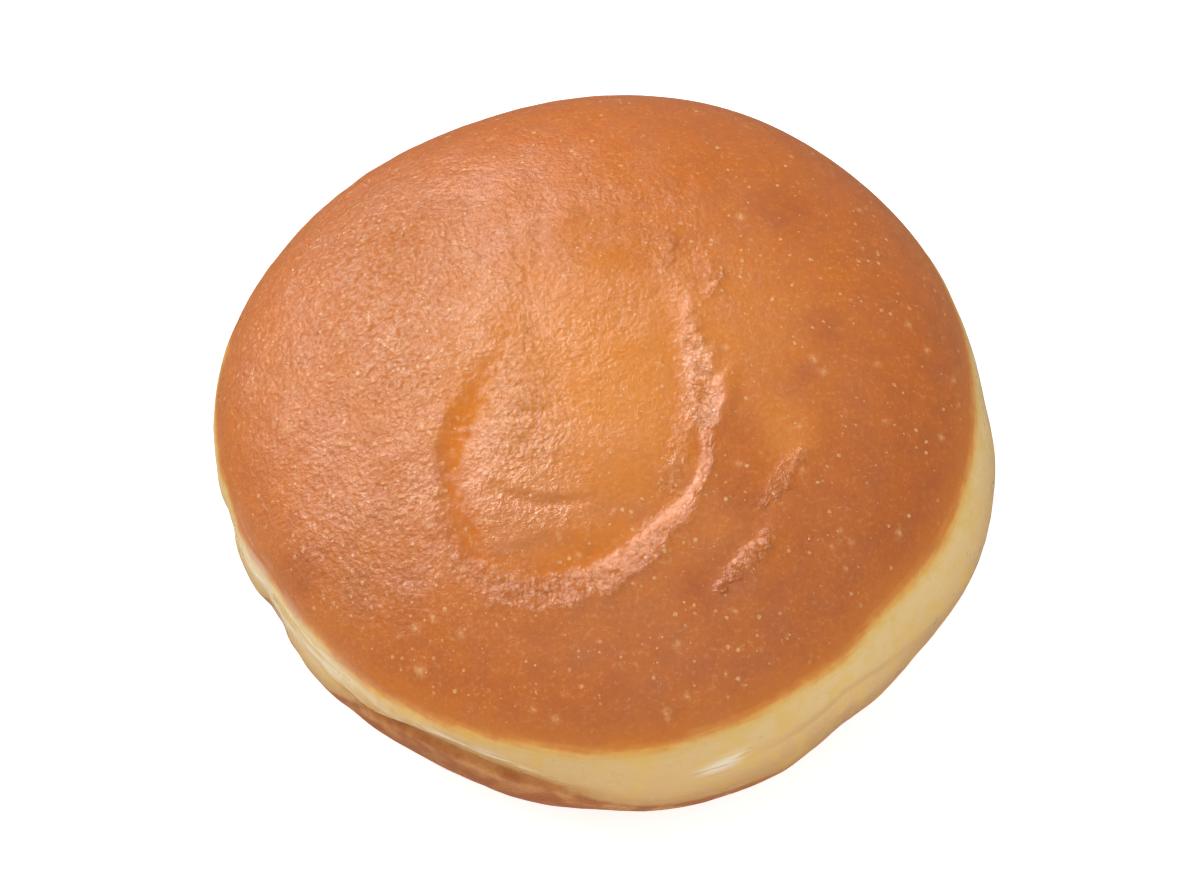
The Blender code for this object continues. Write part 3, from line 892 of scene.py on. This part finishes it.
# Pale specks, partly the crust's own and partly painted glints of the oil's sheen, are few on taut skin,
# and many and larger on leathery skin
specks = add(tree, "TexVoronoi", {"Vector": speck_place, "Scale": 1 / SPECK_SPACING})
speck_draws = add(tree, "SeparateColor", {"Color": specks.outputs["Color"]}).outputs
speck_smallest = add(
    tree, "MapRange",
    {
        "Value": leathery_share, "From Min": 0.0, "From Max": 1.2,
        "To Min": SPECK_TAUT, "To Max": SPECK_LEATHERY,
    },
)
speck_radius = add(
    tree, "Math",
    {"Value": speck_draws["Green"], "Value_001": SPECK_SPREAD, "Value_002": speck_smallest},
    operation="MULTIPLY_ADD",
)
inside_speck = add(tree, "Math", {"Value": speck_radius, "Value_001": specks}, operation="SUBTRACT")
speck_and_glint = add(
    tree, "MapRange",
    {
        "Value": inside_speck, "From Min": 0.0, "From Max": SPECK_SOFTNESS,
        "To Min": 0.0, "To Max": speck_draws["Blue"],
    },
    interpolation_type="SMOOTHSTEP",
)

# How far inside the two crusts, with frayed edges. The upper one flakes where the ring is scuffed and
# where its highlights are painted.
fringe_off = add(tree, "Math", {"Value": fringe, "Value_001": NOISE_MIDDLE}, operation="SUBTRACT")
lines_off = add(tree, "Math", {"Value": ring_lines, "Value_001": NOISE_MIDDLE}, operation="SUBTRACT")
frayed_crust, frayed_sole = (
    add(tree, "Math", {"Value": fringe_off, "Value_001": FRAY, "Value_002": inside}, operation="MULTIPLY_ADD")
    for inside in (inside_crust, inside_sole)
)
brush_reach = add(tree, "MapRange", {"Value": scuff_and_highlight_share, "To Min": BRUSHED, "To Max": FLAKY})
brushed_crust = add(
    tree, "Math", {"Value": lines_off, "Value_001": brush_reach, "Value_002": frayed_crust},
    operation="MULTIPLY_ADD",
)
steepness = add(tree, "MapRange", {"Value": scuff_and_highlight_share, "To Min": 1.0, "To Max": FLAKY_STEEPNESS})
into_crust = add(tree, "Math", {"Value": brushed_crust, "Value_001": steepness}, operation="MULTIPLY")
crust_share = add(
    tree, "MapRange", {"Value": into_crust, "From Min": 0.0, "From Max": CRUST_FADE},
    interpolation_type="SMOOTHSTEP",
)
ring_share = add(tree, "MapRange", {"Value": inside_crust, "From Min": 0.0, "From Max": -1.0})

# Darker with painted shade in the grain's crevices, and darker in its dark flecks and in blotches where the
# crust isn't golden
crevice_shade = add(
    tree, "MapRange", {"Value": pebbles, "From Min": 0.35, "From Max": 0.75, "To Min": 0.0, "To Max": 0.2}
)
blotch_depth = add(tree, "MapRange", {"Value": golden_share, "To Min": 0.3, "To Max": 0.0})
dark_blotches = add(
    tree, "MapRange",
    {"Value": mottle, "From Min": 0.42, "From Max": 0.62, "To Min": 0.0, "To Max": blotch_depth},
)
dark_flecks = add(
    tree, "MapRange", {"Value": flecks, "From Min": 0.46, "From Max": 0.34, "To Min": 0.0, "To Max": 0.15}
)
darkened = add(tree, "Math", {"Value": dark_blotches, "Value_001": dark_flecks}, operation="ADD")
darkened = add(
    tree, "Math", {"Value": crevice_shade, "Value_001": leathery_share, "Value_002": darkened},
    operation="MULTIPLY_ADD",
)
# Toasting adds to these. Some of its spots add painted shade, and some take it away as painted highlights.
browning_and_painted_light = add(
    tree, "Math", {"Value": darkened, "Value_001": toasting_and_painted_light_share}, operation="ADD", use_clamp=True
)

# Paler in its light flecks and on the dots and blisters, and duller where the skin is leathery
light_flecks = add(
    tree, "MapRange", {"Value": flecks, "From Min": 0.56, "From Max": 0.66, "To Min": 0.0, "To Max": 0.55}
)
leather_tint = add(
    tree, "MapRange",
    {"Value": leathery_share, "From Min": 0.5, "From Max": 1.2, "To Min": 0.0, "To Max": 0.25},
)
dots_and_blisters = add(tree, "Math", {"Value": dot, "Value_001": blister_share}, operation="MAXIMUM")
dot_strength = add(
    tree, "MapRange", {"Value": flecks, "From Min": 0.42, "From Max": 0.56, "To Min": 0.4, "To Max": 1.0}
)
pale_dots = add(
    tree, "Math", {"Value": dots_and_blisters, "Value_001": dot_strength}, operation="MULTIPLY"
)

# On the ring, yolk-yellow in spots, and whitish in lines where its skin is scuffed and where highlights are
# painted
yolk_spots = add(
    tree, "MapRange", {"Value": mottle, "From Min": 0.5, "From Max": 0.65, "To Min": 0.0, "To Max": 0.5}
)
scuff_and_highlight_lines = add(
    tree, "MapRange", {"Value": ring_lines, "From Min": 0.43, "From Max": 0.55, "To Min": 0.1, "To Max": 1.0}
)

# The colours run from the ring's foot up over the crust's edge, and the others lie over them in this order
up_ring = add(tree, "MapRange", {"Value": into_crust, "From Min": RING_FOOT, "From Max": RING_TOP})
colour = add(tree, "ValToRGB", {"Fac": up_ring}, stops=RING_COLOURS)
for share, where, hex_colour in (
    (golden_share, crust_share, GOLDEN),
    (light_flecks, crust_share, LIGHT_FLECK),
    (leather_tint, crust_share, LEATHER),
    (browning_and_painted_light, crust_share, TOASTED_AND_SHADE_BROWN),
    (pale_dots, crust_share, PALE_DOT),
    (speck_and_glint, crust_share, PALE_SPECK_AND_GLINT),
    (tan_and_shade_share, ring_share, TAN_AND_SHADE),
    (yolk_spots, ring_share, YOLK),
    (scuff_and_highlight_share, scuff_and_highlight_lines, SCUFF_AND_HIGHLIGHT_WHITE),
):
    cover = add(tree, "Math", {"Value": share, "Value_001": where}, operation="MULTIPLY")
    colour = add(tree, "MixRGB", {"Fac": cover, "Color1": colour, "Color2": linear(hex_colour)})

# The lower crust, with a long tan fringe above its edge
into_sole = add(tree, "MapRange", {"Value": frayed_sole, "From Min": SOLE_FOOT, "From Max": SOLE_TOP})
sole_cover = add(tree, "ValToRGB", {"Fac": into_sole}, stops=SOLE_COVER)
sole_colour = add(tree, "ValToRGB", {"Fac": into_sole}, stops=SOLE_COLOURS)
sole_mottle = add(
    tree, "MapRange", {"Value": mottle, "From Min": 0.43, "From Max": 0.58, "To Min": 0.0, "To Max": 0.8}
)
sole_colour = add(
    tree, "MixRGB", {"Fac": sole_mottle, "Color1": sole_colour, "Color2": linear(SOLE_MOTTLE)}
)
colour = add(tree, "MixRGB", {"Fac": sole_cover, "Color1": colour, "Color2": sole_colour})

# Leathery skin is grainy, the crust is dotted and specked, and lines run along the ring
grained = add(tree, "Math", {"Value": grain, "Value_001": GRAIN_HEIGHT}, operation="MULTIPLY")
pebbled = add(
    tree, "Math", {"Value": pebbles, "Value_001": -PEBBLE_HEIGHT, "Value_002": grained},
    operation="MULTIPLY_ADD",
)
flecked = add(
    tree, "Math", {"Value": flecks, "Value_001": FLECK_HEIGHT, "Value_002": pebbled}, operation="MULTIPLY_ADD"
)
leather_height = add(tree, "Math", {"Value": flecked, "Value_001": leathery_share}, operation="MULTIPLY")
dotted = add(tree, "Math", {"Value": dot, "Value_001": DOT_HEIGHT}, operation="MULTIPLY")
specked = add(
    tree, "Math", {"Value": speck_and_glint, "Value_001": SPECK_HEIGHT, "Value_002": dotted}, operation="MULTIPLY_ADD"
)
crust_height = add(
    tree, "Math", {"Value": specked, "Value_001": crust_share, "Value_002": leather_height},
    operation="MULTIPLY_ADD",
)
line_height = add(
    tree, "MapRange", {"Value": scuff_and_highlight_share, "To Min": RING_LINE_HEIGHT, "To Max": SCUFF_HEIGHT}
)
line_fade = add(
    tree, "MapRange",
    {"Value": inside_crust, "From Min": -1.0, "From Max": 1.0, "To Min": line_height, "To Max": 0.0},
)
whole_height = add(
    tree, "Math", {"Value": ring_lines, "Value_001": line_fade, "Value_002": crust_height},
    operation="MULTIPLY_ADD",
)
bump = add(tree, "Bump", {"Height": whole_height, "Distance": MM, "Strength": 1.0})

# The tops of the grain shine, and the pits between them are dull
fleck_gloss = add(
    tree, "MapRange",
    {"Value": flecks, "From Min": 0.38, "From Max": 0.62, "To Min": -GLOSS_SPREAD, "To Max": GLOSS_SPREAD},
)
pebble_gloss = add(
    tree, "MapRange", {"Value": pebbles, "From Min": 0.1, "From Max": 0.7, "To Min": 1.0, "To Max": -1.0}
)
pebble_share = add(
    tree, "MapRange",
    {"Value": leathery_share, "From Min": 0.9, "From Max": 1.3, "To Min": 0.1, "To Max": 1.0},
)
grain_gloss = add(
    tree, "Math", {"Value": pebble_gloss, "Value_001": pebble_share, "Value_002": fleck_gloss},
    operation="MULTIPLY_ADD",
)
grain_share = add(tree, "MapRange", {"Value": leathery_share, "From Min": 0.1, "From Max": 1.0})
grain_gloss = add(
    tree, "Math", {"Value": grain_gloss, "Value_001": grain_share, "Value_002": 1.0},
    operation="MULTIPLY_ADD",
)
plain_gloss = add(tree, "Math", {"Value": shine_share, "Value_001": PLAIN_GLOSS}, operation="MULTIPLY")
gloss = add(
    tree, "Math", {"Value": grain_gloss, "Value_001": plain_gloss}, operation="MULTIPLY", use_clamp=True
)
roughness = add(
    tree, "MapRange",
    {"Value": mottle, "From Min": 0.3, "From Max": 0.7, "To Min": LEAST_ROUGH, "To Max": MOST_ROUGH},
)

shader_inputs = tree.nodes["Principled BSDF"].inputs
tree.links.new(colour.outputs["Color"], shader_inputs["Base Color"])
tree.links.new(bump.outputs["Normal"], shader_inputs["Normal"])
tree.links.new(roughness.outputs["Result"], shader_inputs["Roughness"])
tree.links.new(gloss.outputs["Value"], shader_inputs["Specular IOR Level"])

doughnut_mesh.materials.append(fried_dough)
doughnut_mesh.shade_smooth()
doughnut = bpy.data.objects.new("doughnut_bun", doughnut_mesh)
bpy.context.scene.collection.objects.link(doughnut)
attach(doughnut, "root")
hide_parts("doughnut")

# ---------------------------------------------------------------------------------------------------------
# The studio. One large soft light behind and to the left gives the sheen. A ceiling of white cloth, whose
# own reflection is kept off the skin, fills the shadows, and the floor is white paper.

FLOOR_SIZE = 3.0
FLOOR_GLOW = 0.6
PAPER_WHITE = "#F4F4F4"
PAPER_ROUGHNESS = 0.9
WHITE = (1, 1, 1, 1)
WALL_LIGHT = 0.15
# Bearing and height in degrees, distance, width and height, power in watts
KEY = (135, 41, 0.7, (1.0, 0.5), 3.6)
SHEEN = (132, 41, 0.69, (0.8, 0.4), 6.0)
CEILING = (0, 90, 1.2, (2.4, 2.4), 13.0)
FRONT_FILL = (-65, 45, 1.2, (1.2, 1.2), 4.2)

floor_mesh = bmesh.new()
bmesh.ops.create_grid(floor_mesh, x_segments=1, y_segments=1, size=FLOOR_SIZE / 2)
floor = bpy.data.objects.new("floor", bpy.data.meshes.new("floor"))
floor_mesh.to_mesh(floor.data)
floor_mesh.free()
paper = bpy.data.materials.new("white_paper")
paper.use_nodes = True
paper_inputs = paper.node_tree.nodes["Principled BSDF"].inputs
paper_inputs["Base Color"].default_value = linear(PAPER_WHITE)
paper_inputs["Roughness"].default_value = PAPER_ROUGHNESS
paper_inputs["Emission Color"].default_value = WHITE
paper_inputs["Emission Strength"].default_value = FLOOR_GLOW
floor.data.materials.append(paper)
bpy.context.scene.collection.objects.link(floor)
floor.visible_glossy = False


def soft_light(name, bearing, height, distance, size, power):
    """A flat panel of light that faces the doughnut and doesn't show itself."""
    panel = bpy.data.lights.new(name, "AREA")
    panel.shape = "RECTANGLE"
    panel.size, panel.size_y = size
    panel.energy = power
    bearing, height = math.radians(bearing), math.radians(height)
    direction = Vector((
        math.cos(bearing) * math.cos(height), math.sin(bearing) * math.cos(height), math.sin(height)
    ))
    light = bpy.data.objects.new(name, panel)
    light.location = direction * distance
    light.rotation_euler = direction.to_track_quat("Z", "Y").to_euler()
    light.visible_camera = False
    bpy.context.scene.collection.objects.link(light)
    return light


soft_light("key", *KEY)
soft_light("sheen", *SHEEN).visible_diffuse = False
soft_light("ceiling", *CEILING).visible_glossy = False
soft_light("front_fill", *FRONT_FILL).visible_glossy = False

walls = bpy.data.worlds.new("walls")
walls.use_nodes = True
wall_inputs = walls.node_tree.nodes["Background"].inputs
wall_inputs["Color"].default_value = WHITE
wall_inputs["Strength"].default_value = WALL_LIGHT
bpy.context.scene.world = walls
bpy.context.scene.view_settings.view_transform = "Standard"
